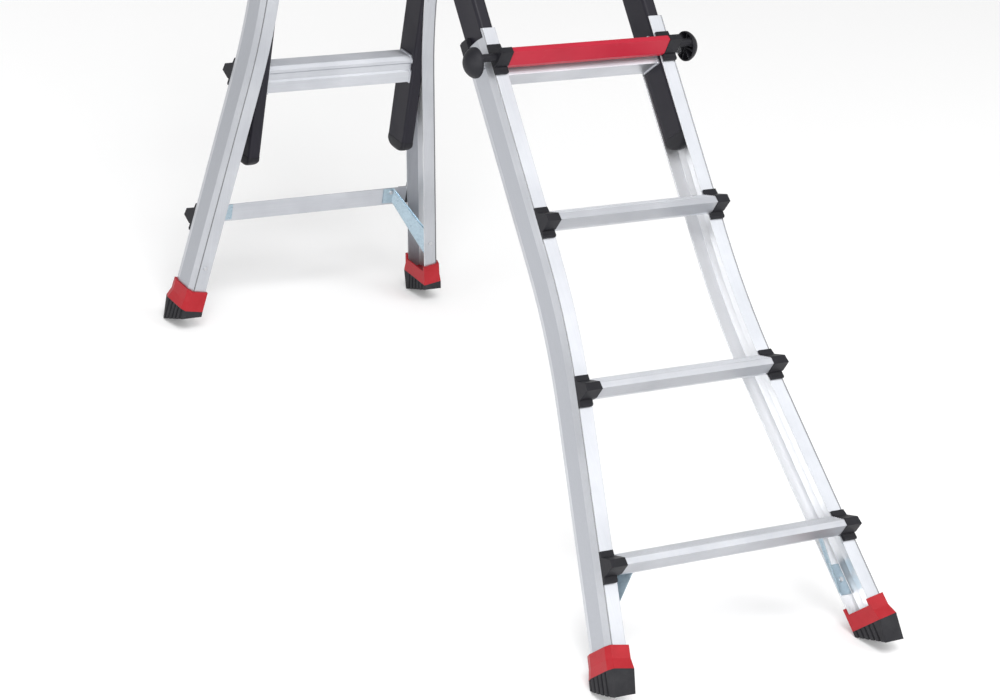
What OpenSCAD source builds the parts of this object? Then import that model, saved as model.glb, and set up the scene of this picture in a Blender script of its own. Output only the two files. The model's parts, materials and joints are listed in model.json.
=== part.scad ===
// Multi-position telescoping ladder: two halves, each an inner ladder that slides in a flared
// outer ladder, joined at the top by locking hinges. Millimetres, +Z up, standing on z = 0.
// In a half's own frame x points out of the climbing side, y runs along the rungs,
// z = 0 is the hinge axis and the rails run down towards -z.

/* [Stance] */
// Angle between the halves where the hinges lock as a stepladder
opening_angle = 44; // [36:1:52]
// Steps by which the front half is drawn out
front_steps = 3; // [0:1:3]
// Steps by which the rear half is drawn out
rear_steps = 1; // [0:1:3]

/* [Ladder] */
// Distance between two rungs
rung_pitch = 280; // [260:1:300]
// Distance along the rail from the hinge axis to the top inner rung
hinge_to_rung = 95; // [92:1:120]
// Distance from the hinge axis to the middle plane of the rails
hinge_offset = 38; // [37.5:0.5:45]
// Width over the outer rails above the bend
ladder_w = 362; // [340:1:420]

/* [Outer rail] */
// Depth of the channel, front to rear
rail_depth = 64; // [60:0.5:70]
// Width of the channel, web to flange edge
rail_w = 30; // [28:0.5:34]
// Wall of the channel
rail_wall = 2.2; // [1.8:0.1:2.6]
// Flat part of the web between the chamfers
web_flat = 36; // [30:1:42]
// Depth of the chamfer into the width of the rail
chamfer_out = 4; // [3:0.5:5]
// Width of the groove in each flange beside the chamfer
rail_groove_w = 2.6; // [2:0.1:3.2]
// Depth of the groove
rail_groove = 0.9; // [0.6:0.1:1.1]
// Distance from the lock rung down to where the bend starts
bend_start = 345; // [330:1:360]
// Radius of the bend at the web
bend_r = 1400; // [1200:10:1600]
// Flare of the lower rail
flare_angle = 9.4; // [7:0.1:11]
// Front flange above the lock rung
flange_top = 46; // [42:1:47]
// Web and rear flange above the lock rung
web_top = 31; // [28:1:34]
// Distance from the bottom rung down to the end of the rail
rail_tail = 158; // [150:1:162]

/* [Inner tube] */
// Gap between the tube and each flange
tube_gap = 0.8; // [0.6:0.1:1.5]
// Width of the tube
tube_w = 24; // [22:0.5:24.5]
// Wall of the tube
tube_wall = 2; // [1.6:0.1:2.4]
// Corner radius of the tube
tube_round = 6; // [5:0.5:8]
// Gap between the web and the tube
web_gap = 3.8; // [3.6:0.1:5]
// Distance from the hinge axis to the top of the tube
tube_head = 48; // [46:1:52]
// Distance from the lowest inner rung to the end of the tube
tube_tail = 155; // [135:1:160]

/* [Rungs] */
// Depth of an outer rung in front of the flange
rung_depth = 32; // [28:0.5:36]
// Height of an outer rung's rear face
rung_h = 33; // [30:0.5:37]
// Slope of the tread, level when the half leans by this angle
tread_angle = 25.5; // [22:0.5:28]
// Depth of the lock rung in front of the flange
lock_rung_depth = 35; // [33:0.5:38]
// Slope of the lock rung's tread
lock_tread_angle = 20.5; // [18:0.5:23]
// Wall of every rung
rung_wall = 1.8; // [1.4:0.1:2.4]
// Depth of an inner rung
inner_rung_depth = 44; // [40:0.5:48]
// Height of an inner rung
inner_rung_h = 49; // [46:0.5:54]
// Depth of the groove along an inner rung's faces
inner_rung_groove = 3.2; // [2:0.2:4]
// Height of the ribs along every tread
rib_h = 0.8; // [0.4:0.1:1.2]

/* [Rung clips] */
// Width of a clip along the rung
clip_w = 24; // [22:0.5:26]
// Thickness of the clip's plate on the flange
clip_plate = 4; // [3:0.5:5]
// Height of the clip above the rung's datum
clip_rise = 15.5; // [14:0.5:18]
// Height of the clip below the rung's datum
clip_drop = 35.5; // [34:0.5:40]

/* [Slide locks] */
// Radius of the lock pin
lock_pin_r = 5.5; // [5:0.1:6]
// Distance of the lock pin in front of the rail's middle plane
lock_pin_v = 14; // [12:0.5:15]
// Radius of the lock knob's stem
stem_r = 6.5; // [5.5:0.1:6.8]
// Distance of the stem in front of the rail's middle plane
stem_v = 47.4; // [46:0.2:49]
// Distance of the lock's axes below the lock rung's datum
lock_drop = 11.6; // [11:0.1:12.5]
// Radius of the knob's rim
knob_r = 25; // [24.5:0.5:28]
// Height of the knob, rim and dome
knob_h = 20; // [17:0.5:23]
// Height of the knob's rim
rim_h = 3.5; // [2.5:0.5:5]
// Distance from the web out to the knob's rim when the pin is drawn
knob_gap = 24; // [20:0.5:28]
// Travel of the lock pin
lock_travel = 16; // [14:0.5:18]
// Gap between the drawn pin and the tube
pin_clear = 1.5; // [1:0.1:2]

/* [Feet] */
// Distance from the bottom rung down to the top of the collar
collar_top = 128; // [122:1:132]
// Distance from the bottom rung down to the foot of the collar
collar_foot = 166; // [164:1:172]
// Wall of the collar at its top
collar_wall = 3.6; // [3:0.2:4]
// Spread of the collar towards the front
collar_spread = 6; // [4:0.5:8]
// How much lower the collar is on the rail's open side
collar_notch = 11; // [8:0.5:14]
// Height of the sole at its front
sole_h = 42; // [38:0.5:47]
// Slope of the sole against the rail, half the opening angle
sole_angle = 22; // [20:0.5:24]
// Setback of the sole's front edge
sole_setback = 10; // [6:0.5:16]
// Width of a groove in the sole's sides
sole_groove = 2.6; // [2:0.1:3]

/* [Braces] */
// Thickness of the brace sheet
brace_t = 2; // [1.5:0.1:2.2]
// Height of the brace's tab on the rung
brace_tab_h = 29; // [25:0.5:30]
// Length of the brace's tab along the rung
brace_tab = 21; // [18:0.5:24]
// Height of the brace's foot on the rear flange
brace_foot_h = 52; // [46:0.5:56]
// Distance from the bottom rung's datum down to the middle of the brace's foot
brace_reach = 85; // [80:1:92]
// Radius of a rivet's shank
rivet_r = 2.5; // [2:0.1:3]

/* [Hinges] */
// Radius of the hinge discs
disc_r = 36; // [34:0.5:38]
// Thickness of a hinge cheek
cheek_t = 3.5; // [3:0.1:4]
// Radius of the hinge pin
hinge_pin_r = 6; // [5:0.5:7]
// Radius of the hinge lock bolt
bolt_r = 5; // [4:0.2:5.5]
// Distance of the lock bolt from the hinge axis
bolt_circle = 24; // [22:0.5:26]
// Travel of the lock bolt
bolt_travel = 14; // [13.5:0.5:16]
// Length of the hinge leaf inside the tube
leaf_plug = 44; // [38:1:46]

/* [Hidden] */
running_gap = 0.3;
pin_fit = 0.05;
$fn = 64;
silver = [0.80, 0.81, 0.83];
anthracite = [0.22, 0.22, 0.24];
red = [0.80, 0.18, 0.22];
black = [0.16, 0.16, 0.17];
zinc = [0.66, 0.75, 0.80];
steel = [0.62, 0.63, 0.65];

// Rail profile: x out of the climbing side, y outwards from the web's outer face
rail_half = rail_depth / 2;
flange_y = -chamfer_out;
rail_groove_v = rail_half - rail_groove;
rail_groove_y = flange_y - rail_groove_w / 2;
rail_groove_end = flange_y - rail_groove_w;
rail_outline = [
    [-web_flat / 2, 0], [-rail_half, flange_y],
    [-rail_groove_v, rail_groove_y], [-rail_half, rail_groove_end],
    [-rail_half, -rail_w], [rail_half, -rail_w],
    [rail_half, rail_groove_end], [rail_groove_v, rail_groove_y],
    [rail_half, flange_y], [web_flat / 2, 0]
];
// Line of the channel's inner face, open towards the other rail
chamfer_slope = chamfer_out / (rail_half - web_flat / 2);
chamfer_in = rail_wall * sqrt(1 + chamfer_slope * chamfer_slope);
bay_half = rail_half - rail_wall;
bay_flat = web_flat / 2 - (chamfer_in - rail_wall) / chamfer_slope;
bay_corner = -chamfer_in - chamfer_slope * (bay_half - web_flat / 2);
rail_bay = [
    [-bay_flat, -rail_wall], [-bay_half, bay_corner], [-bay_half, -rail_w - 1],
    [bay_half, -rail_w - 1], [bay_half, bay_corner], [bay_flat, -rail_wall]
];

// Rail line: distance s down from the lock rung's datum
web_y = ladder_w / 2;
bend_end = bend_start + bend_r * sin(flare_angle);
bend_shift = bend_r * (1 - cos(flare_angle));
function rail_turn(s) =
    s <= bend_start ? 0 : s >= bend_end ? flare_angle : asin((s - bend_start) / bend_r);
function rail_y(s) = web_y + (s >= bend_end
    ? bend_shift + (s - bend_end) * tan(flare_angle)
    : bend_r * (1 - cos(rail_turn(s))));

// Inner ladder
tube_depth = rail_depth - 2 * rail_wall - 2 * tube_gap;
tube_y_out = web_y - rail_wall - web_gap;
tube_y_in = tube_y_out - tube_w;
tube_mid_y = tube_y_out - tube_w / 2;
last_rung = hinge_to_rung + 3 * rung_pitch;
tube_end = last_rung + tube_tail;
function outer_s(steps) = hinge_to_rung + steps * rung_pitch;

// Profiles of the rungs in the x-z plane, x from the flange's face or the rail's middle plane
datum_rise = 8;
nose_step = 2.6;
rung_lip = 9;
function tread_z(x, slope) = datum_rise - x * tan(slope);
function outer_profile(depth, slope, nose_drop) = [
    [0, datum_rise], [0, datum_rise - rung_h], [rung_lip, datum_rise - rung_h],
    [depth, tread_z(depth - nose_step, slope) - nose_drop],
    [depth - nose_step, tread_z(depth - nose_step, slope)]
];
nose_h = 10.7;
lock_nose_h = 7.5;
rib_count = 6;
// Ribs along the edge from a to b of a counter-clockwise outline
function ribs(a, b) = [
    for (i = [0 : rib_count - 1], k = [0.3, 0.35, 0.65, 0.7])
        a + (b - a) * (i + k) / rib_count - left_normal(b - a) * (k > 0.3 && k < 0.7 ? rib_h : 0)
];
rung_profile = outer_profile(rung_depth, tread_angle, nose_h);
lock_rung_profile = outer_profile(lock_rung_depth, lock_tread_angle, lock_nose_h);
inner_top = 15;
inner_low = inner_top - inner_rung_h;
inner_half = inner_rung_depth / 2;
inner_corner = 6;
groove_top = 4;
groove_low = -14;
inner_side = [
    [inner_half, inner_low], [inner_half, groove_low],
    [inner_half - inner_rung_groove, groove_low + inner_rung_groove],
    [inner_half - inner_rung_groove, groove_top - inner_rung_groove], [inner_half, groove_top],
    [inner_half, inner_top - inner_corner], [inner_half - inner_corner, inner_top]
];
inner_other = [for (i = [len(inner_side) - 1 : -1 : 0]) [-inner_side[i].x, inner_side[i].y]];
inner_profile = concat(inner_side, inner_other);
inner_ribbed = concat(inner_side, ribs(inner_side[len(inner_side) - 1], inner_other[0]), inner_other);
swage = 1.6;
swage_w = 3;

// Offsets a counter-clockwise outline inwards by d
function left_normal(v) = [-v.y, v.x] / norm(v);
function inset(p, d) = [
    for (i = [0 : len(p) - 1])
        let (n = len(p), a = left_normal(p[i] - p[(i + n - 1) % n]), b = left_normal(p[(i + 1) % n] - p[i]))
        p[i] + d * (a + b) / (1 + a * b)
];

// Feet, in the rail's own lower frame
foot_s = 3 * rung_pitch + collar_foot;
collar_h = (collar_foot - collar_top) / cos(flare_angle);
sole_rear_v = -rail_half - collar_wall;
collar_front_v = rail_half + collar_wall + collar_spread;
sole_front_v = collar_front_v - sole_setback;
sole_front_s = foot_s + sole_h;
sole_rear_s = sole_front_s - (sole_front_v - sole_rear_v) * tan(sole_angle);

// Lean of each half at which the feet of both halves stand on one level floor
front_toe = [hinge_offset + sole_front_v, outer_s(front_steps) + sole_front_s];
front_heel = [hinge_offset + sole_rear_v, outer_s(front_steps) + sole_rear_s];
rear_toe = [hinge_offset + sole_front_v, outer_s(rear_steps) + sole_front_s];
rear_heel = [hinge_offset + sole_rear_v, outer_s(rear_steps) + sole_rear_s];
function lean_for(f, r) = atan2(
    f.y - r.y * cos(opening_angle) + r.x * sin(opening_angle),
    f.x + r.y * sin(opening_angle) + r.x * cos(opening_angle));
first_lean = lean_for(front_heel, rear_heel);
front_contact = first_lean < sole_angle ? front_toe : front_heel;
rear_contact = opening_angle - first_lean < sole_angle ? rear_toe : rear_heel;
front_lean = lean_for(front_contact, rear_contact);
rear_lean = opening_angle - front_lean;
hinge_z = front_contact.y * cos(front_lean) - front_contact.x * sin(front_lean);
// The outermost points of the feet set the middle of the ladder's depth
function reach(p, lean) = p.x * cos(lean) + p.y * sin(lean);
front_shoulder = [hinge_offset + collar_front_v, outer_s(front_steps) + foot_s];
rear_shoulder = [hinge_offset + collar_front_v, outer_s(rear_steps) + foot_s];
front_reach = max(reach(front_toe, front_lean), reach(front_shoulder, front_lean));
rear_reach = max(reach(rear_toe, rear_lean), reach(rear_shoulder, rear_lean));
hinge_x = (rear_reach - front_reach) / 2;
echo(front_lean = front_lean, rear_lean = rear_lean, hinge_x = hinge_x, hinge_z = hinge_z);

// Frames
module front_half() translate([hinge_x, 0, hinge_z]) rotate([0, -front_lean, 0]) children();
module rear_half() translate([hinge_x, 0, hinge_z]) rotate([0, rear_lean, 0]) rotate([0, 0, 180]) children();
module front_outer() front_half() translate([hinge_offset, 0, -outer_s(front_steps)]) children();
module rear_outer() rear_half() translate([hinge_offset, 0, -outer_s(rear_steps)]) children();
module on_side(side) {
    if (side < 0) mirror([0, 1, 0]) children();
    else children();
}
// Frame of the rail at distance s: y outwards from the web, z up along the rail
module on_rail(s) translate([0, rail_y(s), -s]) rotate([rail_turn(s), 0, 0]) children();
// Extrudes an x-z outline along y from y0 to y1
module along_y(y0, y1) translate([0, y1, 0]) rotate([90, 0, 0]) linear_extrude(y1 - y0) children();
module pin_y(x, z, r, y0, y1) translate([x, y0, z]) rotate([-90, 0, 0]) cylinder(r = r, h = y1 - y0);
module pin_x(x0, x1, r, y, z) translate([x0, y, z]) rotate([0, 90, 0]) cylinder(r = r, h = x1 - x0);
module hollow(outline, plain, wall) {
    difference() {
        polygon(outline);
        polygon(inset(plain, wall));
    }
}
module tread_bar(profile) {
    hollow(concat(profile, ribs(profile[len(profile) - 1], profile[0])), profile, rung_wall);
}

// Outer rail: straight, bent and flared run of one channel
module channel() {
    rotate(90) difference() {
        polygon(rail_outline);
        polygon(rail_bay);
    }
}
module channel_run(turn, len) rotate([turn, 0, 0]) linear_extrude(len) translate([bend_r, 0]) channel();
module outer_rail() {
    upper = bend_start + flange_top;
    lower = (3 * rung_pitch + rail_tail - bend_end) / cos(flare_angle);
    difference() {
        translate([0, web_y + bend_r, -bend_start]) rotate([-90, 0, 0]) rotate([0, 90, 0]) {
            channel_run(90, upper);
            rotate_extrude(angle = flare_angle, $fn = 180) translate([bend_r, 0]) channel();
            rotate([0, 0, flare_angle]) channel_run(-90, lower);
        }
        // The web and the rear flange end below the front flange
        translate([-rail_half - 1, web_y - rail_w - 1, web_top])
            cube([rail_half + 1 + bay_half, rail_w + 2, flange_top]);
        pin_y(lock_pin_v, -lock_drop, lock_pin_r + running_gap, web_y - rail_wall - 1, web_y + 1);
        pin_x(-rail_half - 1, -bay_half + 1, rivet_r, rivet_y, -brace_mid);
    }
}

// A rung ends where the clip's plate starts, at its innermost corner
function rung_half(s) =
    rail_y(s) + (flange_y - clip_w) / cos(rail_turn(s)) - clip_rise * tan(rail_turn(s));
module outer_rung(i) {
    half = rung_half(i * rung_pitch);
    difference() {
        translate([rail_half, 0, -i * rung_pitch]) along_y(-half, half) tread_bar(rung_profile);
        // The bottom rung's rear wall takes the braces' rivets
        if (i == 3)
            for (y = [-tab_rivet_y, tab_rivet_y])
                pin_x(rail_half - 1, rail_half + rung_wall + 1, rivet_r, y, -brace_top);
    }
}
module lock_rung() {
    half = rung_half(0);
    translate([rail_half, 0, 0]) along_y(-half, half) tread_bar(lock_rung_profile);
}

// Clip that carries a rung's end on the front flange, cut to the rail's slant on its outer side
clip_root = 6.5;
clip_lip = 2;
clip_shoulder = 5.5;
clip_plate_outline = [
    [0, clip_rise], [0, -clip_drop], [clip_root - clip_lip, -clip_drop],
    [clip_root, -clip_drop + clip_lip], [clip_root - 0.5, -clip_drop + 3 * clip_lip],
    [clip_root, clip_shoulder], [clip_plate, clip_rise]
];
function clip_block(profile) = [
    [0, clip_shoulder], [0, profile[1].y], [profile[2].x + 1, profile[2].y],
    profile[3] + [0.5, -1], profile[4] + [0.5, 1.5], [clip_root, clip_shoulder]
];
// Slab along the rail, from y0 to y1 beside the web's face
module rail_slab(s, y0, y1) {
    on_rail(s) translate([-1, y0, -3 * clip_drop]) cube([2 * rung_depth, y1 - y0, 6 * clip_drop]);
}
module clip(s, profile) {
    inner = rung_half(s);
    intersection() {
        translate([0, 0, -s]) along_y(inner - clip_w, inner + 2 * clip_w) polygon(clip_plate_outline);
        rail_slab(s, flange_y - clip_w, flange_y);
    }
    intersection() {
        translate([0, 0, -s]) along_y(inner, inner + 2 * clip_w) polygon(clip_block(profile));
        rail_slab(s, flange_y - 2 * clip_w, flange_y);
    }
}
module rung_clips() {
    for (i = [1 : 3], side = [-1, 1])
        on_side(side) translate([rail_half, 0, 0]) clip(i * rung_pitch, rung_profile);
}
// Housing at the lock rung's end: a clip with a bore for the knob's stem
module lock_housing() {
    difference() {
        translate([rail_half, 0, 0]) clip(0, lock_rung_profile);
        pin_y(stem_v, -lock_drop, stem_r + running_gap, rung_half(0) - 1, web_y + 1);
    }
}
module lock_housings() for (side = [-1, 1]) on_side(side) lock_housing();

// Glide over the web's top edge, which keeps the tube off the web
guide_front = -9;
guide_lip = 3;
guide_skirt = 8;
guide_pad = 24;
guide_face = web_y - rail_wall - web_gap + running_gap;
guide_top = flange_top + 1;
module guide_slab(v0, y0, y1, z0, z1) {
    translate([v0, y0, z0]) cube([guide_front - v0, y1 - y0, z1 - z0]);
}
module rail_guide() {
    guide_slab(-bay_half, web_y, web_y + guide_lip, web_top - guide_skirt, guide_top - guide_lip);
    guide_slab(-bay_half, guide_face, web_y, web_top, guide_top);
    guide_slab(-bay_flat, guide_face, web_y - rail_wall, web_top - guide_pad, web_top);
}
module rail_guides() for (side = [-1, 1]) on_side(side) rail_guide();

// Foot: a collar round the rail's end and a grooved rubber sole
collar_out = collar_wall + 3.5;
collar_in = 3;
module foot_outline(front, rear, out, inner) {
    slope_v = (rail_half - web_flat / 2) * 0.9;
    polygon([
        [rear + slope_v, out], [rear, out - chamfer_out], [rear, -rail_w - inner],
        [front, -rail_w - inner], [front, out - chamfer_out], [front - slope_v, out]
    ]);
}
slab = 0.1;
collar_v = rail_half + collar_wall;
module collar_ring(z, front, out) {
    translate([0, 0, z]) linear_extrude(slab) foot_outline(front, sole_rear_v, out, collar_in);
}
module collar_body() {
    waist = 0.45 * collar_h;
    hull() {
        collar_ring(0, collar_front_v, collar_out);
        collar_ring(waist, collar_v, collar_wall + 0.6);
    }
    hull() {
        collar_ring(waist, collar_v, collar_wall + 0.6);
        collar_ring(collar_h - slab, collar_v, collar_wall);
    }
}
rail_in_foot = (collar_foot - rail_tail) / cos(flare_angle);
module foot_collar() {
    on_rail(foot_s) difference() {
        collar_body();
        translate([0, 0, rail_in_foot]) linear_extrude(collar_h) polygon(rail_outline);
        translate([-bay_half, -rail_w - collar_in - 1, collar_h - collar_notch])
            cube([2 * bay_half, collar_in + 2, collar_notch + 1]);
    }
}
module foot_collars() for (side = [-1, 1]) on_side(side) foot_collar();
groove_depth = 1.6;
groove_count = 4;
module foot_sole() {
    long = 2 * sole_h;
    base = sole_h + 6;
    base_front = collar_front_v - sole_setback * base / sole_h;
    difference() {
        on_rail(foot_s) hull() {
            translate([0, 0, -slab]) linear_extrude(slab)
                foot_outline(collar_front_v, sole_rear_v, collar_out, collar_in);
            translate([0, 0, -base]) linear_extrude(slab)
                foot_outline(base_front, sole_rear_v, collar_out, collar_in + 2);
        }
        // The tread: level across, sloped front to rear
        translate([sole_front_v, rail_y(foot_s), -sole_front_s]) rotate([0, sole_angle, 0])
            translate([-2 * rail_depth, -rail_depth, -long]) cube([4 * rail_depth, 2 * rail_depth, long]);
        on_rail(foot_s) for (i = [0 : groove_count - 1])
            translate([sole_rear_v + 8 + i * 4.5 * sole_groove, 0, -long]) {
                translate([0, collar_out - groove_depth, 0])
                    cube([sole_groove, 2 * groove_depth, long - 1]);
                translate([0, -rail_w - collar_in - groove_depth - 2, 0])
                    cube([sole_groove, 2 * groove_depth + 2, long - 1]);
            }
    }
}
module foot_soles() for (side = [-1, 1]) on_side(side) foot_sole();

// Brace: a folded strip from the bottom rung's rear face to the rear flange
brace_top = 3 * rung_pitch;
brace_mid = brace_top + brace_reach;
fold_gap = 30;
turn_gap = 3;
brace_slant = brace_foot_h / 2 * tan(flare_angle);
brace_fold = rung_half(brace_top) - fold_gap;
brace_start = brace_fold - brace_tab;
brace_turn = rail_y(brace_mid) - rail_w + turn_gap;
brace_stop = rail_y(brace_mid) + bay_corner - turn_gap;
module brace_strip(t) {
    stop = brace_stop + brace_slant;
    polygon([
        [rail_half, brace_start], [rail_half, brace_fold], [-bay_half + t, brace_turn],
        [-bay_half + t, stop], [-bay_half, stop], [-bay_half, brace_turn - t / 2],
        [rail_half - t, brace_fold - t / 2], [rail_half - t, brace_start]
    ]);
}
tab_top = brace_top - datum_rise;
foot_top = brace_mid - brace_foot_h / 2;
module brace() {
    intersection() {
        translate([0, 0, -brace_mid - brace_foot_h]) linear_extrude(2 * brace_mid) brace_strip(brace_t);
        translate([rail_depth, 0, 0]) rotate([90, 0, -90]) linear_extrude(2 * rail_depth)
            mirror([1, 0]) polygon([
                [brace_start, -tab_top], [brace_fold, -tab_top], [brace_turn, -foot_top],
                [brace_stop - brace_slant, -foot_top], [brace_stop + brace_slant, -foot_top - brace_foot_h],
                [brace_turn + turn_gap, -foot_top - brace_foot_h], [brace_fold, -tab_top - brace_tab_h],
                [brace_start, -tab_top - brace_tab_h]
            ]);
    }
}
// Lip bent square along the strip's upper edge
lip_w = 6;
lip_gap = 7;
lip_from = [rail_half - brace_t / 2, brace_fold - brace_t / 4, -tab_top];
lip_run = [-bay_half + brace_t / 2, brace_turn - brace_t / 4, -foot_top] - lip_from;
module brace_lip() {
    translate(lip_from) rotate([0, 0, atan2(lip_run.y, lip_run.x)])
        rotate([0, atan2(-lip_run.z, norm([lip_run.x, lip_run.y])), 0])
            translate([lip_gap, 0, -brace_t]) cube([norm(lip_run) - 2 * lip_gap, lip_w, brace_t]);
}
module brace_with_hole() {
    difference() {
        union() {
            brace();
            brace_lip();
        }
        pin_x(-rail_half, -bay_half + 2 * brace_t, rivet_r, rivet_y, -brace_mid);
        pin_x(rail_half - 2 * brace_t, rail_half + 1, rivet_r, tab_rivet_y, -brace_top);
    }
}
rivet_y = rail_y(brace_mid) + (flange_y - rail_w) / 2;
module braces() for (side = [-1, 1]) on_side(side) brace_with_hole();

// Rivets: one through the rear flange and one through the bottom rung's rear wall at each brace
head_r = 1.6 * rivet_r;
head_h = 1.6;
module rivet(x0, x1, y, z) {
    pin_x(x0, x1, rivet_r, y, z);
    pin_x(x0 - head_h, x0, head_r, y, z);
    pin_x(x1, x1 + head_h, head_r, y, z);
}
tab_rivet_y = brace_fold - head_r - brace_t / 2 - running_gap;
module rivets() {
    for (side = [-1, 1]) on_side(side) {
        rivet(-rail_half, -bay_half + brace_t, rivet_y, -brace_mid);
        rivet(rail_half - brace_t, rail_half + rung_wall, tab_rivet_y, -brace_top);
    }
}

// Inner ladder: two tubes, four swaged rungs and end caps
module round_box(depth, width, r) {
    square([depth, width - 2 * r], center = true);
    square([depth - 2 * r, width], center = true);
    for (x = [-1, 1], y = [-1, 1]) translate([x * (depth / 2 - r), y * (width / 2 - r)]) circle(r);
}
module tube_outline(skin) round_box(tube_depth + 2 * skin, tube_w + 2 * skin, tube_round + skin);
module inner_tube() {
    difference() {
        translate([hinge_offset, tube_mid_y, -tube_end]) linear_extrude(tube_end - tube_head) difference() {
            tube_outline(0);
            tube_outline(-tube_wall);
        }
        // Lock holes in the outer wall, one at each rung
        for (i = [0 : 3])
            pin_y(hinge_offset + lock_pin_v, -hinge_to_rung - i * rung_pitch - lock_drop,
                lock_pin_r + 2 * running_gap, tube_y_out - 2 * tube_wall, tube_y_out + 1);
        leaf_rivet_cut();
    }
}
module inner_rung(i) {
    half = tube_y_in;
    translate([hinge_offset, 0, -hinge_to_rung - (i - 1) * rung_pitch]) {
        along_y(-half, half) hollow(inner_ribbed, inner_profile, rung_wall);
        for (side = [-1, 1]) on_side(side) along_y(half - swage_w, half) difference() {
            polygon(inset(inner_profile, -swage));
            polygon(inset(inner_profile, rung_wall));
        }
    }
}
cap_skin = 0.4;
cap_band = 9;
cap_plug = 16;
cap_r = 0.62 * tube_depth;
cap_edge = 0.4 * tube_w;
cap_nose = cap_band + tube_depth / 4;
module end_cap() {
    translate([hinge_offset, tube_mid_y, -tube_end]) {
        // Nose under the tube's end, rounded both ways
        intersection() {
            translate([0, 0, -tube_depth]) linear_extrude(tube_depth) tube_outline(cap_skin);
            translate([0, 0, cap_r - cap_nose])
                rotate([90, 0, 0]) cylinder(r = cap_r, h = 2 * tube_w, center = true, $fn = 96);
            translate([0, 0, tube_depth - cap_nose]) rotate([90, 0, 90])
                linear_extrude(2 * tube_depth, center = true)
                    round_box(tube_w + 2 * cap_skin, 2 * tube_depth, cap_edge);
        }
        linear_extrude(cap_plug) difference() {
            tube_outline(-tube_wall);
            tube_outline(-2 * tube_wall);
        }
    }
}
module end_caps() for (side = [-1, 1]) on_side(side) end_cap();

// Hinge leaves: cheeks on the front half, a locking disc between them on the rear half
leaf_y_in = tube_y_in + tube_wall;
leaf_y_out = tube_y_out - tube_wall;
disc_y_in = leaf_y_in + cheek_t + running_gap;
disc_y_out = leaf_y_out - cheek_t - running_gap;
plug_x0 = hinge_offset - tube_depth / 2 + tube_wall;
plug_x1 = hinge_offset + tube_depth / 2 - tube_wall;
plug_low = tube_head + leaf_plug;
arm_neck = 0.5 * disc_r;
module leaf_outline() {
    circle(disc_r);
    polygon([
        [-arm_neck, -0.8 * disc_r], [plug_x0 + tube_round, -tube_head], [plug_x0 + tube_round, -plug_low],
        [plug_x1 - tube_round, -plug_low], [plug_x1 - tube_round, -tube_head + 6], [0.95 * disc_r, 0]
    ]);
}
// Bolt holes in the locking disc, for folded, stepladder and straight
bolt_angles = [0, opening_angle, 180];
leaf_rivet_z = -(tube_head + plug_low) / 2;
leaf_rivet_x = [hinge_offset - tube_depth / 4, hinge_offset + tube_depth / 4];
module leaf_rivet_cut() {
    for (x = leaf_rivet_x) pin_y(x, leaf_rivet_z, rivet_r, tube_y_in - 1, tube_y_out + 1);
}
module leaf_rivets() {
    for (x = leaf_rivet_x) {
        pin_y(x, leaf_rivet_z, rivet_r, tube_y_in, tube_y_out);
        pin_y(x, leaf_rivet_z, head_r, tube_y_in - head_h, tube_y_in);
    }
}
module front_leaf() {
    difference() {
        union() {
            along_y(leaf_y_in, leaf_y_in + cheek_t) leaf_outline();
            along_y(leaf_y_out - cheek_t, leaf_y_out) leaf_outline();
            translate([plug_x0 + tube_round, leaf_y_in, -plug_low])
                cube([plug_x1 - plug_x0 - 2 * tube_round, leaf_y_out - leaf_y_in, plug_low - tube_head - 6]);
        }
        pin_y(0, 0, hinge_pin_r + pin_fit, leaf_y_in - 1, leaf_y_out + 1);
        pin_y(0, bolt_circle, bolt_r + running_gap, leaf_y_in - 1, leaf_y_out + 1);
    }
    leaf_rivets();
}
module rear_leaf() {
    difference() {
        union() {
            along_y(disc_y_in, disc_y_out) leaf_outline();
            translate([plug_x0 + tube_round, leaf_y_in, -plug_low])
                cube([plug_x1 - plug_x0 - 2 * tube_round, leaf_y_out - leaf_y_in, plug_low - tube_head - 6]);
        }
        pin_y(0, 0, hinge_pin_r + pin_fit, leaf_y_in - 1, leaf_y_out + 1);
        for (a = bolt_angles)
            pin_y(bolt_circle * sin(a), bolt_circle * cos(a), bolt_r + running_gap, leaf_y_in, leaf_y_out);
    }
    leaf_rivets();
}
pin_head_r = 11;
pin_head_h = 3;
module hinge_pin() {
    pin_y(0, 0, hinge_pin_r, leaf_y_in, leaf_y_out);
    pin_y(0, 0, pin_head_r, leaf_y_in - pin_head_h, leaf_y_in);
    pin_y(0, 0, pin_head_r, leaf_y_out, leaf_y_out + pin_head_h);
}
module hinge_pins() for (side = [-1, 1]) on_side(side) hinge_pin();

// Hinge lock: a bolt with a pull knob, drawn clear of the locking disc
pull_r = 10;
pull_h = 12;
module hinge_lock() {
    tip = disc_y_out + running_gap;
    head = leaf_y_out + bolt_travel + 2;
    pin_y(0, bolt_circle, bolt_r, tip, head);
    translate([0, head, bolt_circle]) rotate([-90, 0, 0]) rotate_extrude() polygon([
        [0, 0], [pull_r - 3, 0], [pull_r, 3], [pull_r, pull_h - 2], [pull_r - 2, pull_h], [0, pull_h]
    ]);
}

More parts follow.
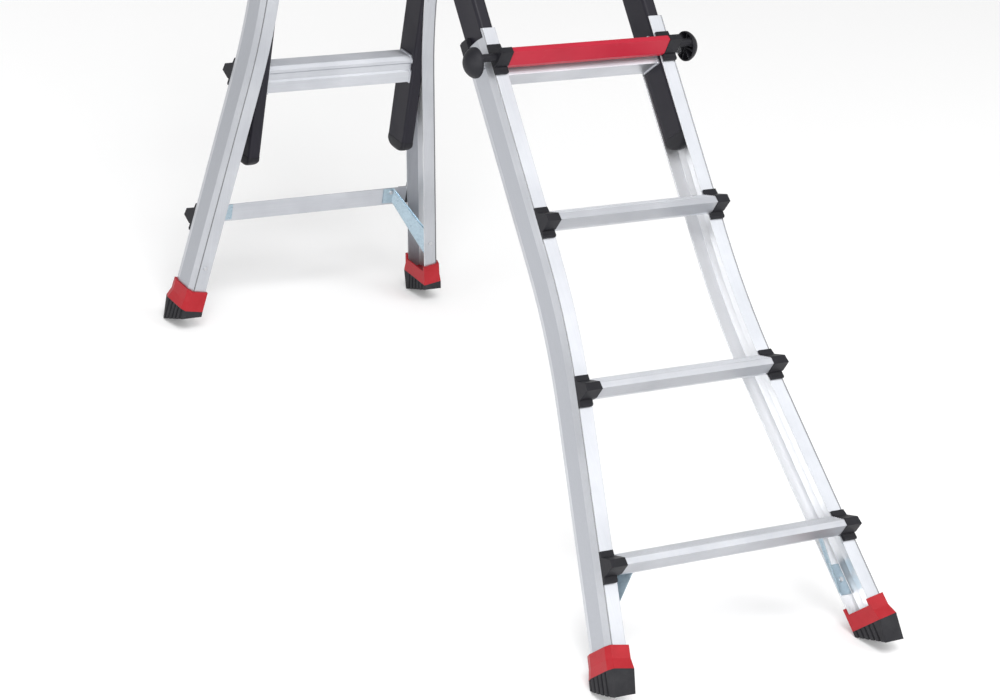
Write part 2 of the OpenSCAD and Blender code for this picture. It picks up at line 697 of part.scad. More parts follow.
// Slide lock: a domed knob on a stem, and the steel pin that it carries
knob_v = (stem_v + lock_pin_v) / 2;
knob_y = web_y + knob_gap;
knob_wall = 3;
module dome(r, h) {
    sphere_r = (r * r + (h - rim_h) * (h - rim_h)) / (2 * (h - rim_h));
    rotate_extrude() {
        square([r, rim_h]);
        intersection() {
            translate([0, h - sphere_r]) circle(sphere_r, $fn = 128);
            translate([0, rim_h]) square([r, h - rim_h]);
        }
    }
}
stem_in = 20;
rib_t = 2;
module lock_knob() {
    translate([knob_v, knob_y, -lock_drop]) rotate([-90, 0, 0]) difference() {
        dome(knob_r, knob_h);
        difference() {
            translate([0, 0, -1]) dome(knob_r - knob_wall + 1, knob_h - knob_wall + 1);
            for (a = [0 : 45 : 135])
                rotate(a) translate([-knob_r, -rib_t / 2, 0]) cube([2 * knob_r, rib_t, knob_h]);
            translate([stem_v - knob_v, 0, -2]) cylinder(r = stem_r + 1.5, h = knob_h);
            translate([lock_pin_v - knob_v, 0, -2]) cylinder(r = lock_pin_r + 2, h = knob_h);
        }
        translate([lock_pin_v - knob_v, 0, -2]) cylinder(r = lock_pin_r, h = pin_seat + 2);
    }
    pin_y(stem_v, -lock_drop, stem_r, web_y + flange_y - stem_in, knob_y + knob_wall);
}
pin_seat = 8;
module lock_pin() {
    pin_y(lock_pin_v, -lock_drop, lock_pin_r, tube_y_out + pin_clear, knob_y + pin_seat);
}

color(anthracite) front_half() on_side(-1) inner_tube();  // front_inner_tube_left
color(anthracite) front_half() on_side(1) inner_tube();  // front_inner_tube_right
color(silver) front_half() inner_rung(1);  // front_inner_rung_1
color(silver) front_half() inner_rung(2);  // front_inner_rung_2
color(silver) front_half() inner_rung(3);  // front_inner_rung_3
color(silver) front_half() inner_rung(4);  // front_inner_rung_4
color(black) front_half() end_caps();  // front_inner_end_caps
color(steel) front_half() on_side(-1) front_leaf();  // front_hinge_leaf_left
color(steel) front_half() on_side(1) front_leaf();  // front_hinge_leaf_right
color(steel) front_half() hinge_pins();
color(black) front_half() on_side(-1) hinge_lock();  // hinge_lock_left
color(black) front_half() on_side(1) hinge_lock();  // hinge_lock_right
color(silver) front_outer() on_side(-1) outer_rail();  // front_outer_rail_left
color(silver) front_outer() on_side(1) outer_rail();  // front_outer_rail_right
color(red) front_outer() lock_rung();  // front_lock_rung
color(silver) front_outer() outer_rung(1);  // front_outer_rung_2
color(silver) front_outer() outer_rung(2);  // front_outer_rung_3
color(silver) front_outer() outer_rung(3);  // front_outer_rung_4
color(black) front_outer() rung_clips();  // front_rung_clips
color(black) front_outer() lock_housings();  // front_lock_housings
color(black) front_outer() rail_guides();  // front_rail_guides
color(red) front_outer() foot_collars();  // front_foot_collars
color(black) front_outer() foot_soles();  // front_foot_soles
color(zinc) front_outer() braces();  // front_braces
color(steel) front_outer() rivets();  // front_rivets
color(black) front_outer() on_side(-1) lock_knob();  // front_lock_knob_left
color(black) front_outer() on_side(1) lock_knob();  // front_lock_knob_right
color(steel) front_outer() on_side(-1) lock_pin();  // front_lock_pin_left
color(steel) front_outer() on_side(1) lock_pin();  // front_lock_pin_right
color(anthracite) rear_half() on_side(-1) inner_tube();  // rear_inner_tube_left
color(anthracite) rear_half() on_side(1) inner_tube();  // rear_inner_tube_right
color(silver) rear_half() inner_rung(1);  // rear_inner_rung_1
color(silver) rear_half() inner_rung(2);  // rear_inner_rung_2
color(silver) rear_half() inner_rung(3);  // rear_inner_rung_3
color(silver) rear_half() inner_rung(4);  // rear_inner_rung_4
color(black) rear_half() end_caps();  // rear_inner_end_caps
color(steel) rear_half() on_side(-1) rear_leaf();  // rear_hinge_leaf_left
color(steel) rear_half() on_side(1) rear_leaf();  // rear_hinge_leaf_right
color(silver) rear_outer() on_side(-1) outer_rail();  // rear_outer_rail_left
color(silver) rear_outer() on_side(1) outer_rail();  // rear_outer_rail_right
color(red) rear_outer() lock_rung();  // rear_lock_rung
color(silver) rear_outer() outer_rung(1);  // rear_outer_rung_2
color(silver) rear_outer() outer_rung(2);  // rear_outer_rung_3
color(silver) rear_outer() outer_rung(3);  // rear_outer_rung_4
color(black) rear_outer() rung_clips();  // rear_rung_clips
color(black) rear_outer() lock_housings();  // rear_lock_housings
color(black) rear_outer() rail_guides();  // rear_rail_guides
color(red) rear_outer() foot_collars();  // rear_foot_collars
color(black) rear_outer() foot_soles();  // rear_foot_soles
color(zinc) rear_outer() braces();  // rear_braces
color(steel) rear_outer() rivets();  // rear_rivets
color(black) rear_outer() on_side(-1) lock_knob();  // rear_lock_knob_left
color(black) rear_outer() on_side(1) lock_knob();  // rear_lock_knob_right
color(steel) rear_outer() on_side(-1) lock_pin();  // rear_lock_pin_left
color(steel) rear_outer() on_side(1) lock_pin();  // rear_lock_pin_right
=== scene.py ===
import json
import math
import bpy
import bmesh
from mathutils import Matrix, Vector


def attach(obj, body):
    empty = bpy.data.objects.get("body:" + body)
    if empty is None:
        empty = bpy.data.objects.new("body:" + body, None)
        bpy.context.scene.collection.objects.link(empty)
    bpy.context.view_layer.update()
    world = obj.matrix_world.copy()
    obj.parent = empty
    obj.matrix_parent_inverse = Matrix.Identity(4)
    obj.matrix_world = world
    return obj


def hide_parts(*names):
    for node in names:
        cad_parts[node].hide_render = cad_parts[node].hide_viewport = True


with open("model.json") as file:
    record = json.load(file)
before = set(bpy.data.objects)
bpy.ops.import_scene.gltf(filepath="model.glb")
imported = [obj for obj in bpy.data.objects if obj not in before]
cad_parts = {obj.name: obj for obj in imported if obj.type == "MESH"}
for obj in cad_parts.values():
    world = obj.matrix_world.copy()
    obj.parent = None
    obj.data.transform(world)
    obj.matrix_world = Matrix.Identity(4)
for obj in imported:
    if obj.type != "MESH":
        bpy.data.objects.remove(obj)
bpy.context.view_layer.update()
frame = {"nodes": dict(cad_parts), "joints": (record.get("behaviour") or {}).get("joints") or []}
scene = bpy.context.scene
nodes = frame["nodes"]
joints = {j["name"]: j for j in frame["joints"]}
print("frame loaded,", len(nodes), "nodes")

# each half's directions come from its slide: up along the rails, and out of the climbing side
halves = ("front", "rear")
sides = ("left", "right")
frontUp, rearUp = (Vector(joints[half + "_slide"]["axis"]) for half in halves)
upOf = {"front": frontUp, "rear": rearUp}
outOf = {"front": Vector((frontUp.z, 0, -frontUp.x)), "rear": Vector((-rearUp.z, 0, rearUp.x))}
leanOf = {half: math.atan2(-up.x, up.z) for half, up in upOf.items()}


# node helpers
def newMaterial(name):
    mat = bpy.data.materials.new(name)
    mat.use_nodes = True
    tree = mat.node_tree
    return mat, tree, tree.nodes["Principled BSDF"]


def addNode(tree, kind, **values):
    # a value goes to the node itself, or else to its input of that name
    node = tree.nodes.new(kind)
    for key, value in values.items():
        if hasattr(node, key):
            setattr(node, key, value)
        else:
            node.inputs[key].default_value = value
    return node


def railCoords(tree, half=None, scale=(1, 1, 1)):
    # object coordinates, turned so that Z runs along the rails when a half is given
    coords = addNode(tree, "ShaderNodeTexCoord")
    turn = addNode(tree, "ShaderNodeMapping", Rotation=(0, leanOf.get(half, 0), 0))
    stretch = addNode(tree, "ShaderNodeMapping", Scale=scale)
    tree.links.new(coords.outputs["Object"], turn.inputs["Vector"])
    tree.links.new(turn.outputs["Vector"], stretch.inputs["Vector"])
    return stretch.outputs["Vector"]


def noise(tree, vector, scale, detail, rough):
    node = addNode(tree, "ShaderNodeTexNoise", Scale=scale, Detail=detail, Roughness=rough)
    tree.links.new(vector, node.inputs["Vector"])
    return node.outputs["Fac"]


def ramp(tree, fac, stops):
    node = addNode(tree, "ShaderNodeValToRGB")
    elements = node.color_ramp.elements
    while len(elements) < len(stops):
        elements.new(0.5)
    for element, (place, colour) in zip(elements, stops):
        element.position = place
        element.color = (*colour, 1)
    tree.links.new(fac, node.inputs["Fac"])
    return node.outputs["Color"]


def spread(tree, fac, low, high, start, end):
    # goes from low to high while the input goes from start to end
    node = addNode(tree, "ShaderNodeMapRange")
    for socket, value in (("From Min", start), ("From Max", end), ("To Min", low), ("To Max", high)):
        node.inputs[socket].default_value = value
    tree.links.new(fac, node.inputs["Value"])
    return node.outputs["Result"]


def grey(tone):
    return (tone, tone, tone)


def mixColour(tree, fac, one, two, blend="MIX"):
    node = addNode(tree, "ShaderNodeMix", data_type="RGBA", blend_type=blend)
    sockets = (node.inputs[0], node.inputs[6], node.inputs[7])  # factor and both colours
    for value, socket in zip((fac, one, two), sockets):
        if isinstance(value, bpy.types.NodeSocket):
            tree.links.new(value, socket)
        elif isinstance(value, tuple):
            socket.default_value = (*value, 1)
        else:
            socket.default_value = value
    return node.outputs[2]


def multiply(tree, one, two):
    return mixColour(tree, 1.0, one, two, "MULTIPLY")


def dress(tree, shader, colour, sheen, rough, span):
    # the roughness goes from low to high as the sheen crosses the span
    tree.links.new(colour, shader.inputs["Base Color"])
    tree.links.new(spread(tree, sheen, *rough, *span), shader.inputs["Roughness"])


def bump(tree, shader, height, strength, distance, edge):
    # fine relief over edges that catch the light as if broken by this radius
    broken = addNode(tree, "ShaderNodeBevel", samples=4, Radius=edge)
    node = addNode(tree, "ShaderNodeBump", Strength=strength, Distance=distance)
    tree.links.new(height, node.inputs["Height"])
    tree.links.new(broken.outputs["Normal"], node.inputs["Normal"])
    tree.links.new(node.outputs["Normal"], shader.inputs["Normal"])


# faces that take painted light or shade of their own: how squarely they meet a direction, from not at all to
# fully
faceMask = {
    "tilted": (0.93, 0.98),
    "inside": (0.6, 0.9),
    "outside": (0.962, 0.98),
    "groove": ((0.62, grey(0)), (0.70, grey(1)), (0.90, grey(1)), (0.95, grey(0))),
    "blur": 0.004,  # metres each way from the middle of a rail's depth
}


def facing(tree, sideways, start, end):
    # 1 on faces turned towards the given side of the ladder
    surface = addNode(tree, "ShaderNodeNewGeometry")
    parts = addNode(tree, "ShaderNodeSeparateXYZ")
    tree.links.new(surface.outputs["True Normal"], parts.inputs["Vector"])
    return spread(tree, parts.outputs["Y"], 0, 1, start * sideways, end * sideways)


def along(tree, source, direction):
    # how far a face's normal or its place goes in a direction
    coords = addNode(tree, "ShaderNodeTexCoord")
    dot = addNode(tree, "ShaderNodeVectorMath", operation="DOT_PRODUCT")
    dot.inputs[1].default_value = direction
    tree.links.new(coords.outputs[source], dot.inputs[0])
    return dot.outputs["Value"]


def leanBack(tree, half, degrees):
    # how squarely a face leans back by the angle from facing out of the climbing side
    slope = math.radians(degrees)
    return along(tree, "Normal", math.cos(slope) * outOf[half] + math.sin(slope) * upOf[half])


def tilted(tree, half, degrees=0):
    # 1 on faces that lean back by the angle
    return spread(tree, leanBack(tree, half, degrees), 0, 1, *faceMask["tilted"])


def inGroove(tree, half):
    # 1 on the slanted walls of the groove beside each flange, which take painted shade
    size = addNode(tree, "ShaderNodeMath", operation="ABSOLUTE")
    tree.links.new(leanBack(tree, half, 0), size.inputs[0])
    return ramp(tree, size.outputs["Value"], faceMask["groove"])


def rearInside(tree, half, side):
    # 1 on the side of a rail's rear flange that faces into the channel, which takes painted light
    rail = nodes[half + "_outer_rail_" + side].data
    depths = [v.co.dot(outOf[half]) for v in rail.vertices]
    middle = (min(depths) + max(depths)) / 2
    near, far = middle - faceMask["blur"], middle + faceMask["blur"]
    both = addNode(tree, "ShaderNodeMath", operation="MULTIPLY")
    tree.links.new(spread(tree, along(tree, "Object", outOf[half]), 1, 0, near, far), both.inputs[0])
    tree.links.new(tilted(tree, half), both.inputs[1])
    return both.outputs["Value"]


# extruded aluminium: fine drawn lines along the rail, faint clouding and small scuffs;
# painted light within the channel, and painted light and shade on faces by how they meet the lamps
railFinish = {
    "clouds": (9, 5, 0.55),  # scale, detail and roughness of each noise
    "cloudTones": ((0.35, (0.51, 0.525, 0.56)), (0.62, (0.585, 0.60, 0.635))),
    "drawn": (900, 3, 0.6),
    "drawnTones": ((0.3, (0.90, 0.90, 0.905)), (0.7, grey(1))),
    "pull": 0.006,  # draws the noise out into lines
    "scuffs": (70, 6, 0.7),
    "scuffTones": ((0.66, grey(1)), (0.78, (0.84, 0.84, 0.85))),
    # painted light within each channel, standing in for light bounced between its walls
    "inside": {"front": (0.64, 0.65, 0.67), "rear": (0.88, 0.89, 0.91)},
    # painted shade on each web's outer face
    "outside": (0.44, 0.455, 0.49),
    # painted light on the rear flange's inner face, which the front flange shades
    "rearInside": (0.93, 0.935, 0.95),
    # painted shade on the slanted groove walls beside each flange
    "groove": (0.20, 0.205, 0.215),
    # painted shade: the webs of the rear rails and the flanges of the front rails darkened where the lamps
    # light them brightly
    "web": {"frontLeft": 1.0, "frontRight": 1.0, "rearLeft": 0.88, "rearRight": 0.97},
    "flange": {"frontLeft": 0.88, "frontRight": 0.93, "rearLeft": 1.0, "rearRight": 1.0},
    # painted shade on the steps' ribbed treads, for the shadow between their ribs
    "tread": (0.30, 0.305, 0.32),
    "treadSlope": 64.5,  # slopes are degrees that a face leans back
    # painted highlight on the steps' noses and painted shade on their undersides
    "stepTones": ((0, 1.10), (-70, 0.85)),  # slope and tone
    # painted light on the inner rungs' front faces, where the lock rung shades them
    "rungTones": ((0, 1.25),),
    "rough": (0.30, 0.42),
    "roughSpan": (0.25, 0.75),
    "metal": 0.8,
    "relief": {"strength": 0.12, "distance": 0.0003, "edge": 0.0007},
}


def paintRailLightShade(tree, half, side, colour, streaks):
    # painted light within the channel and on the rear flange's inner face; painted shade on the web's outer
    # face, on some rails' webs and flanges, and in the grooves
    inward = -1 if (half == "front") == (side == "right") else 1
    inside = facing(tree, inward, *faceMask["inside"])
    outside = facing(tree, -inward, *faceMask["outside"])
    web, flange = (grey(railFinish[k][half + side.capitalize()]) for k in ("web", "flange"))
    colour = mixColour(tree, inside, colour, railFinish["inside"][half])
    colour = mixColour(tree, outside, colour, multiply(tree, streaks, railFinish["outside"]))
    colour = multiply(tree, colour, mixColour(tree, tilted(tree, half), web, flange))
    colour = mixColour(tree, inGroove(tree, half), colour, railFinish["groove"])
    return mixColour(tree, rearInside(tree, half, side), colour, railFinish["rearInside"])


def paintRungLightShade(tree, half, tread, colour):
    # painted shade on the steps' ribbed treads, then painted light or shade on each face by its slope
    if tread:
        top = tilted(tree, half, railFinish["treadSlope"])
        colour = mixColour(tree, top, colour, railFinish["tread"])
    for slope, tone in railFinish["stepTones" if tread else "rungTones"]:
        shade = mixColour(tree, tilted(tree, half, slope), grey(1), grey(tone))
        colour = multiply(tree, colour, shade)
    return colour


def aluminium(name, half, side=None, tread=False):
    # a rail of the given side, or a rung if no side is given
    mat, tree, shader = newMaterial(name)
    pull = railFinish["pull"]
    plain = railCoords(tree, half)
    drawn = noise(tree, railCoords(tree, half, (1, 1, pull) if side else (1, pull, 1)), *railFinish["drawn"])
    streaks = ramp(tree, drawn, railFinish["drawnTones"])
    clouds = ramp(tree, noise(tree, plain, *railFinish["clouds"]), railFinish["cloudTones"])
    scuffs = ramp(tree, noise(tree, plain, *railFinish["scuffs"]), railFinish["scuffTones"])
    colour = multiply(tree, clouds, streaks)
    if side:
        colour = paintRailLightShade(tree, half, side, colour, streaks)
    else:
        colour = paintRungLightShade(tree, half, tread, colour)
    colour = multiply(tree, colour, scuffs)
    dress(tree, shader, colour, drawn, railFinish["rough"], railFinish["roughSpan"])
    shader.inputs["Metallic"].default_value = railFinish["metal"]
    bump(tree, shader, drawn, **railFinish["relief"])
    return mat


# powder coat: orange-peel grain, with rubbed streaks where the tubes slide, and a painted highlight on the
# red rung's tread
coatFinish = {
    "tube": {
        "colour": (0.0110, 0.0102, 0.0160), "worn": (0.040, 0.040, 0.048),
        "rough": (0.36, 0.52), "grain": 1300,
    },
    "red": {
        "colour": (0.42, 0.015, 0.035), "worn": (0.46, 0.05, 0.07), "rough": (0.30, 0.42), "grain": 1100,
        # the tread colour is a painted highlight on the red rung's top face, lit from above
        "tread": (0.60, 0.032, 0.062), "treadSlope": 69.5,
    },
    "grain": (2, 0.5),  # detail and roughness
    "clouds": (14, 4, 0.5),
    "cloudTones": ((0.3, grey(0.90)), (0.7, grey(1))),
    "rubbed": (160, 5, 0.65),
    "rubbedTones": ((0.60, grey(0)), (0.86, grey(0.75))),
    "pull": 0.02,
    "roughSpan": (0.3, 0.7),
    "gloss": 0.22,
    "relief": {"strength": 0.16, "distance": 0.0003, "edge": 0.0008},
}


def powderCoat(name, half, kind):
    mat, tree, shader = newMaterial(name)
    finish = coatFinish[kind]
    plain = railCoords(tree, half)
    grain = noise(tree, plain, finish["grain"], *coatFinish["grain"])
    clouds = noise(tree, plain, *coatFinish["clouds"])
    rubbed = noise(tree, railCoords(tree, half, (1, 1, coatFinish["pull"])), *coatFinish["rubbed"])
    worn = ramp(tree, rubbed, coatFinish["rubbedTones"])
    colour = mixColour(tree, worn, finish["colour"], finish["worn"])
    # painted highlight on the red rung's top face
    if "tread" in finish:
        colour = mixColour(tree, tilted(tree, half, finish["treadSlope"]), colour, finish["tread"])
    colour = multiply(tree, colour, ramp(tree, clouds, coatFinish["cloudTones"]))
    dress(tree, shader, colour, clouds, finish["rough"], coatFinish["roughSpan"])
    shader.inputs["Specular IOR Level"].default_value = coatFinish["gloss"]
    bump(tree, shader, grain, **coatFinish["relief"])
    return mat


# moulded plastic and rubber: fine spark-eroded grain and slightly polished patches
mouldedFinish = {
    "black": {
        "tones": ((0.38, (0.0078, 0.0078, 0.0106)), (0.72, (0.015, 0.015, 0.019))),
        "rough": (0.40, 0.56), "grain": 2600,
    },
    "red": {
        "tones": ((0.38, (0.315, 0.009, 0.015)), (0.72, (0.365, 0.016, 0.024))),
        "rough": (0.34, 0.48), "grain": 2200,
    },
    "rubber": {
        "tones": ((0.38, (0.015, 0.015, 0.018)), (0.72, (0.031, 0.031, 0.034))),
        "rough": (0.62, 0.82), "grain": 900,
    },
    "grain": (3, 0.6),
    "clouds": (30, 5, 0.6),
    "roughSpan": (0.3, 0.7),
    "gloss": 0.22,
    "relief": {"strength": 0.22, "distance": 0.00035, "edge": 0.0012},
}


def moulded(name, kind):
    mat, tree, shader = newMaterial(name)
    finish = mouldedFinish[kind]
    plain = railCoords(tree)
    grain = noise(tree, plain, finish["grain"], *mouldedFinish["grain"])
    clouds = noise(tree, plain, *mouldedFinish["clouds"])
    colour = ramp(tree, clouds, finish["tones"])
    dress(tree, shader, colour, clouds, finish["rough"], mouldedFinish["roughSpan"])
    shader.inputs["Specular IOR Level"].default_value = mouldedFinish["gloss"]
    bump(tree, shader, grain, **mouldedFinish["relief"])
    return mat


# plated steel: crystal-like spangle on the braces, plain bright plate on pins and rivets
plateFinish = {
    "zinc": {
        "tones": ((0.3, (0.34, 0.435, 0.505)), (0.65, (0.41, 0.515, 0.585))),
        "rough": (0.24, 0.42), "spangle": 320,
    },
    "steel": {
        "tones": ((0.3, (0.45, 0.46, 0.48)), (0.65, (0.62, 0.63, 0.65))),
        "rough": (0.22, 0.36), "spangle": 240,
    },
    "clouds": (40, 5, 0.6),
    "cloudShare": 0.6,
    "roughSpan": (0.3, 0.7),
    "metal": 0.85,
    "relief": {"strength": 0.02, "distance": 0.0003, "edge": 0.0004},
}


def plated(name, kind):
    mat, tree, shader = newMaterial(name)
    finish = plateFinish[kind]
    plain = railCoords(tree)
    cells = addNode(tree, "ShaderNodeTexVoronoi", Scale=finish["spangle"])
    tree.links.new(plain, cells.inputs["Vector"])
    clouds = noise(tree, plain, *plateFinish["clouds"])
    tint = mixColour(tree, plateFinish["cloudShare"], cells.outputs["Color"], clouds)
    colour = ramp(tree, tint, finish["tones"])
    dress(tree, shader, colour, clouds, finish["rough"], plateFinish["roughSpan"])
    shader.inputs["Metallic"].default_value = plateFinish["metal"]
    bump(tree, shader, clouds, **plateFinish["relief"])
    return mat


materials = {}
for half in halves:
    for side in sides:
        materials[half + "_rail_" + side] = aluminium(half + side.capitalize() + "Rail", half, side)
    materials[half + "_rung"] = aluminium(half + "Rung", half)
    materials[half + "_step"] = aluminium(half + "Step", half, tread=True)
    materials[half + "_tube"] = powderCoat(half + "TubeCoat", half, "tube")
    materials[half + "_red"] = powderCoat(half + "RedCoat", half, "red")
materials["black"] = moulded("blackPlastic", "black")
materials["redPlastic"] = moulded("redPlastic", "red")
materials["rubber"] = moulded("soleRubber", "rubber")
materials["zinc"] = plated("zincPlate", "zinc")
materials["steel"] = plated("brightPlate", "steel")

# words in a node's name and the material that goes with them; all the rest is black plastic
materialOf = {
    "inner_tube": "{half}_tube", "lock_rung": "{half}_red",
    "outer_rail_left": "{half}_rail_left", "outer_rail_right": "{half}_rail_right",
    "outer_rung": "{half}_step", "inner_rung": "{half}_rung",
    "collars": "redPlastic", "soles": "rubber", "braces": "zinc",
    "rivets": "steel", "lock_pin": "steel", "hinge_pins": "steel", "leaf": "steel",
}
for name, node in nodes.items():
    half = name.split("_")[0]
    found = [material for words, material in materialOf.items() if words in name] + ["black"]
    node.data.materials.clear()
    node.data.materials.append(materials[found[0].format(half=half)])
print("materials set on the frame")


# piece helpers
def newPiece(name, maker):
    mesh = bpy.data.meshes.new(name)
    bmesh.ops.recalc_face_normals(maker, faces=maker.faces)
    maker.to_mesh(mesh)
    maker.free()
    piece = bpy.data.objects.new(name, mesh)
    scene.collection.objects.link(piece)
    return piece


def coverPiece(piece, sharp, material):
    # smooth, apart from edges that turn by more than the given degrees
    mesh = piece.data
    mesh.shade_smooth()
    mesh.set_sharp_from_angle(angle=math.radians(sharp))
    mesh.materials.clear()
    mesh.materials.append(materials[material])


# tube end caps: rounded both ways, with a thin lip round the tube's end
capShape = {
    "skin": 0.00045, "lip": 0.0007, "lipStep": 1.5, "nose": 0.0235,
    "depthRadius": 0.036, "widthRadius": 0.0105, "corner": 0.0064, "cornerShare": 0.98,
    "rings": 16, "tipGap": 0.4, "cornerSteps": 6, "sharp": 40,
}


def capRing(depth, width):
    # points of a rounded rectangle, half sizes given
    corner = min(capShape["corner"], capShape["cornerShare"] * depth, capShape["cornerShare"] * width)
    points = []
    for quarter, (sideways, across) in enumerate(((1, 1), (-1, 1), (-1, -1), (1, -1))):
        for step in range(capShape["cornerSteps"] + 1):
            angle = math.pi / 2 * (quarter + step / capShape["cornerSteps"])
            points.append((
                sideways * (depth - corner) + corner * math.cos(angle),
                across * (width - corner) + corner * math.sin(angle),
            ))
    return points


def capLevels(depth, width):
    # half sizes at each distance below the tube's end
    nose, deepR, wideR = (capShape[k] for k in ("nose", "depthRadius", "widthRadius"))
    skin, lip, rings = (capShape[k] for k in ("skin", "lip", "rings"))
    levels = [(0, depth, width), (lip, depth + skin, width + skin)]
    for k in range(1, rings + 1):
        drop = nose * math.sin(math.pi / 2 * k / (rings + capShape["tipGap"]))
        across = drop - (nose - deepR)
        deep = min(depth + skin, math.sqrt(deepR ** 2 - across ** 2))
        rise = max(0, drop - (nose - wideR))
        wide = width + skin - wideR + math.sqrt(wideR ** 2 - rise ** 2)
        levels.append((max(drop, lip * capShape["lipStep"]), deep, wide))
    return levels


def endCaps(half):
    # both caps of one inner ladder, set on the measured ends of its tubes
    up, out, across = upOf[half], outOf[half], Vector((0, 1, 0))
    maker = bmesh.new()
    for side in sides:
        spots = [v.co for v in nodes[half + "_inner_tube_" + side].data.vertices]
        reach = [(min(c.dot(a) for c in spots), max(c.dot(a) for c in spots)) for a in (out, across)]
        end = min(c.dot(up) for c in spots)
        middle = [(low + high) / 2 for low, high in reach]
        depth, width = ((high - low) / 2 for low, high in reach)
        rings = []
        for drop, deep, wide in capLevels(depth, width):
            ring = []
            for x, y in capRing(deep, wide):
                spot = (middle[0] + x) * out + (middle[1] + y) * across + (end - drop) * up
                ring.append(maker.verts.new(spot))
            rings.append(ring)
        for above, below in zip(rings, rings[1:]):
            for k in range(len(above)):
                maker.faces.new((above[k - 1], above[k], below[k], below[k - 1]))
        maker.faces.new(rings[0])
        maker.faces.new(rings[-1])
    piece = newPiece(half + "EndCaps", maker)
    coverPiece(piece, capShape["sharp"], "black")
    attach(piece, half + "_inner")
    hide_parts(half + "_inner_end_caps")


for half in halves:
    endCaps(half)
print("end caps made")

# rubber soles: the ribs stand deeper and one more than the frame's plain grooves, edges broken
soleShape = {
    "first": 0.0068, "pitch": 0.0117, "width": 0.0050, "depth": 0.0032, "count": 5,
    "margin": 0.0009, "reach": 0.006, "length": 0.060,
    "weld": 1e-6, "edge": 0.0007, "edgeSteps": 2, "sharp": 40,
}


def grooveBoxes(maker, spots, up, out):
    # boxes to cut from both ribbed sides of one sole, square to its collar
    outer = max(spots, key=lambda c: c.dot(up))
    inner = min(spots, key=lambda c: abs(c.y))
    across = outer - inner
    across = (across - across.dot(out) * out).normalized()
    down = across.cross(out)
    if down.dot(up) > 0:
        down = -down
    rear = min(c.dot(out) for c in spots)
    width, depth, reach, length = (soleShape[k] for k in ("width", "depth", "reach", "length"))
    top = outer.dot(down) + soleShape["margin"]
    for face, sign in ((outer.dot(across), 1), (inner.dot(across), -1)):
        for k in range(soleShape["count"]):
            place = rear + soleShape["first"] + k * soleShape["pitch"] + width / 2
            middle = face + sign * (reach - depth) / 2
            centre = place * out + middle * across + (top + length / 2) * down
            box = Matrix((width * out, (reach + depth) * across, length * down)).transposed()
            bmesh.ops.create_cube(maker, size=1, matrix=Matrix.Translation(centre) @ box.to_4x4())


def ribbedSoles(half):
    # the frame's soles with the grooves cut deeper and their edges broken
    source = nodes[half + "_foot_soles"].data
    maker = bmesh.new()
    spots = [maker.verts.new(v.co) for v in source.vertices]
    for face in source.polygons:
        maker.faces.new([spots[k] for k in face.vertices])
    bmesh.ops.remove_doubles(maker, verts=maker.verts, dist=soleShape["weld"])
    piece = newPiece(half + "FootSoles", maker)
    boxes = bmesh.new()
    for sign in (-1, 1):
        grooveBoxes(boxes, [v.co for v in source.vertices if sign * v.co.y > 0], upOf[half], outOf[half])
    cutter = newPiece(half + "SoleCutter", boxes)
    cut = piece.modifiers.new("ribs", "BOOLEAN")
    cut.operation = "DIFFERENCE"
    cut.solver = "EXACT"
    cut.object = cutter
    broken = piece.modifiers.new("edges", "BEVEL")
    broken.width = soleShape["edge"]
    broken.segments = soleShape["edgeSteps"]
    ready = piece.evaluated_get(bpy.context.evaluated_depsgraph_get())
    mesh = bpy.data.meshes.new_from_object(ready)
    piece.modifiers.clear()
    piece.data = mesh
    bpy.data.objects.remove(cutter)
    coverPiece(piece, soleShape["sharp"], "rubber")
    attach(piece, half + "_outer")
    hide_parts(half + "_foot_soles")


for half in halves:
    ribbedSoles(half)
print("soles made")

# floor
floorSet = {"size": 60.0, "colour": (0.85, 0.85, 0.85, 1), "rough": 0.9, "glow": 0.10}
mesh = bpy.data.meshes.new("floor")
maker = bmesh.new()
bmesh.ops.create_grid(maker, x_segments=1, y_segments=1, size=floorSet["size"] / 2)
maker.to_mesh(mesh)
maker.free()
floor = bpy.data.objects.new("floor", mesh)
scene.collection.objects.link(floor)
mat, tree, shader = newMaterial("paleFloor")
shader.inputs["Base Color"].default_value = floorSet["colour"]
shader.inputs["Roughness"].default_value = floorSet["rough"]
shader.inputs["Emission Color"].default_value = (1, 1, 1, 1)
shader.inputs["Emission Strength"].default_value = floorSet["glow"]
mesh.materials.append(mat)

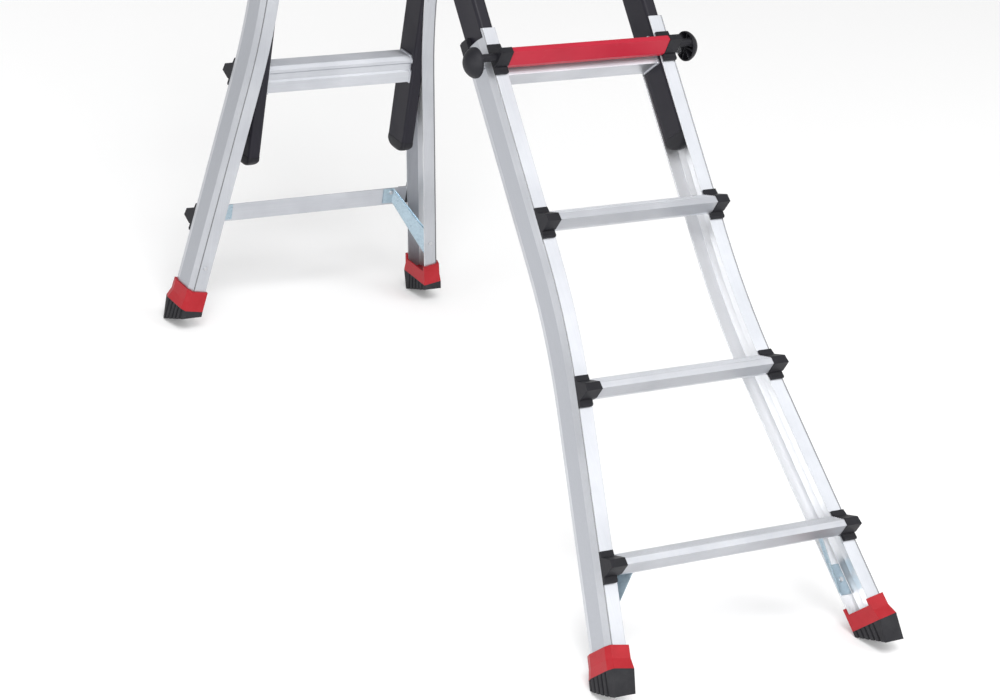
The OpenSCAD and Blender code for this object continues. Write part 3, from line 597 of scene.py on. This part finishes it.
# soft studio light, with the powers balanced against the photograph's tones
studioSet = {"colour": (1, 1, 1, 1), "strength": 0.555}
world = bpy.data.worlds.new("studio")
scene.world = world
world.use_nodes = True
background = world.node_tree.nodes["Background"]
background.inputs["Color"].default_value = studioSet["colour"]
background.inputs["Strength"].default_value = studioSet["strength"]
lightSet = {
    "key": {"place": (4.4, -2.4, 8.0), "aim": (0.3, 0, 0.4), "size": 4.5, "power": 474},
    "top": {"place": (3.6, 3.6, 7.6), "aim": (0.3, 0, 0.4), "size": 5.0, "power": 109},
    "fill": {"place": (4.6, 1.6, 1.8), "aim": (0.0, 0, 0.6), "size": 2.5, "power": 18},
    "side": {"place": (0.6, -6.0, 1.8), "aim": (0.2, 0, 0.6), "size": 3.0, "power": 72},
    "front": {"place": (5.2, -3.9, 2.2), "aim": (0.2, 0, 0.6), "size": 2.5, "power": 149},
    "low": {"place": (2.6, -5.2, 0.7), "aim": (0.2, 0, 0.5), "size": 2.5, "power": 52},
    "far": {"place": (4.4, 4.6, 4.8), "aim": (0.5, 0, 0.2), "size": 3.0, "power": 47},
}
for name, values in lightSet.items():
    lamp = bpy.data.lights.new(name, "AREA")
    lamp.energy = values["power"]
    lamp.size = values["size"]
    holder = bpy.data.objects.new(name, lamp)
    holder.location = values["place"]
    beam = Vector(values["aim"]) - Vector(values["place"])
    holder.rotation_euler = beam.to_track_quat("-Z", "Y").to_euler()
    scene.collection.objects.link(holder)
scene.view_settings.view_transform = "Standard"

# camera, solved from the clip corners in the photograph
cameraSet = {
    "place": (4.23303, -3.06611, 2.50748), "azimuth": 35.4984, "pitch": 23.5766, "roll": 8.2893,
    "lens": 121.018, "sensor": 36, "clipEnd": 200,
}
turn, pitch, roll = (math.radians(cameraSet[k]) for k in ("azimuth", "pitch", "roll"))
ahead = Vector((-math.cos(turn) * math.cos(pitch), math.sin(turn) * math.cos(pitch), -math.sin(pitch)))
level = Vector((math.sin(turn), math.cos(turn), 0))
above = level.cross(ahead)
right = math.cos(roll) * level + math.sin(roll) * above
above = -math.sin(roll) * level + math.cos(roll) * above
view = bpy.data.cameras.new("photoCamera")
view.sensor_fit = "HORIZONTAL"
view.sensor_width = cameraSet["sensor"]
view.lens = cameraSet["lens"]
view.clip_end = cameraSet["clipEnd"]
camera = bpy.data.objects.new("photoCamera", view)
facingTurn = Matrix((right, above, -ahead)).transposed().to_4x4()
camera.matrix_world = Matrix.Translation(cameraSet["place"]) @ facingTurn
scene.collection.objects.link(camera)
scene.camera = camera
print("stage, lights and camera set")
